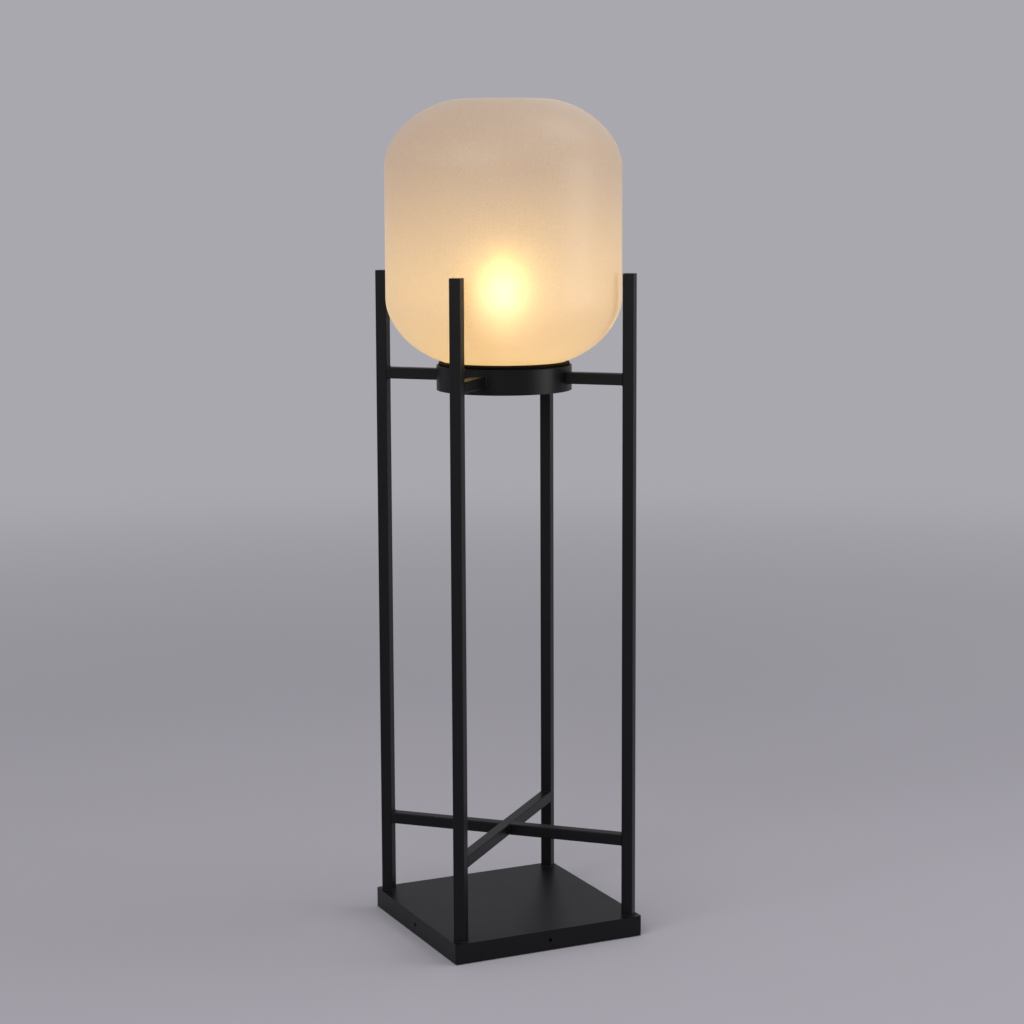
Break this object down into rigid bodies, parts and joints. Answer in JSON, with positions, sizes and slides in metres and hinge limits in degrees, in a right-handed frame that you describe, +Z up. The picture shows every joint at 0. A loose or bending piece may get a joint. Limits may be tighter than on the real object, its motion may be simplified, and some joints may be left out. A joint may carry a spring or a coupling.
{
  "type": "lantern floor lamp",
  "caption": "Lantern lamp: a tall opal glass shade seated in a ring between slim square posts on a flat weighted base, with a brace across the posts.",
  "frame": {"origin": "on the floor, under the middle of the square base", "axes": "+Z up along the axis of the glass, +X and +Y square to the sides of the base, with the cord inlet in the +Y side"},
  "size_m": [0.247, 0.247, 0.8793],
  "materials": {
    "powder_black": "fine satin powder coat on welded steel tube",
    "opal_glass": "blown opal glass, satin, lit warm from inside",
    "gasket_rubber": "moulded black rubber",
    "pad_rubber": "soft black rubber pad",
    "zinc_steel": "zinc plated steel",
    "ballast_steel": "hot rolled steel plate",
    "block_nylon": "moulded nylon",
    "brass": "drawn brass",
    "tinned_copper": "tinned copper",
    "lead_pvc": "black PVC sheath",
    "core_brown": "brown PVC",
    "core_blue": "blue PVC",
    "core_earth": "green and yellow PVC",
    "holder_ceramic": "glazed porcelain",
    "cap_nickel": "nickel plated brass",
    "vitrite": "black glass insulator",
    "solder": "solder dome",
    "bulb_glass": "clear blown glass",
    "stem_glass": "clear glass",
    "filament": "phosphor coated filament stick"
  },
  "bodies": {
    "frame": {"base_pan": "powder_black", "bottom_plate": "zinc_steel", "ballast_weight": "ballast_steel", "ballast_screws": "zinc_steel", "side_screws": "zinc_steel", "foot_pads": "pad_rubber", "cord_grommet": "gasket_rubber", "terminal_block": "block_nylon", "terminal_inserts": "brass", "terminal_screws": "zinc_steel", "block_screw": "zinc_steel", "earth_stud": "zinc_steel", "earth_nut": "zinc_steel", "earth_lug": "tinned_copper", "earth_wire": "core_earth", "inner_lead": "lead_pvc", "base_live_core": "core_brown", "base_neutral_core": "core_blue", "holder_live_core": "core_brown", "holder_neutral_core": "core_blue", "gallery_ring": "powder_black", "gallery_cup": "powder_black", "seat_gasket": "gasket_rubber", "holder_bracket": "zinc_steel", "bracket_screws": "zinc_steel", "bracket_nuts": "zinc_steel", "holder_screws": "zinc_steel", "holder_body": "holder_ceramic", "holder_sleeve": "brass", "centre_contact": "brass", "brace_through": "powder_black", "brace_left": "powder_black", "brace_right": "powder_black", "post_front_left": "powder_black", "post_front_right": "powder_black", "post_back_right": "powder_black", "post_back_left": "powder_black", "cap_front_left": "powder_black", "cap_front_right": "powder_black", "cap_back_right": "powder_black", "cap_back_left": "powder_black", "arm_front_left": "powder_black", "arm_front_right": "powder_black", "arm_back_right": "powder_black", "arm_back_left": "powder_black"},
    "shade": {"glass_shade": "opal_glass"},
    "bulb_base": {"bulb_contact": "solder", "bulb_insulator": "vitrite"},
    "bulb": {"bulb_cap": "cap_nickel", "bulb_envelope": "bulb_glass", "bulb_stem": "stem_glass", "bulb_filaments": "filament", "filament_wires": "zinc_steel"}
  },
  "joints": [
    {"name": "shade_lift", "type": "slide", "parent": "frame", "child": "shade", "axis": [0, 0, 1], "range_m": [0, 0.16]},
    {"name": "bulb_rise", "type": "slide", "parent": "frame", "child": "bulb_base", "axis": [0, 0, 1], "range_m": [0, 0.01452]},
    {"name": "bulb_turn", "type": "hinge", "parent": "bulb_base", "child": "bulb", "pos_m": [0, 0, 0.62], "axis": [0, 0, 1], "range_deg": [0, 1440]}
  ],
  "couplings": [
    {"joint": "bulb_rise", "follows": "bulb_turn", "m_per_rad": 0.00057757}
  ]
}
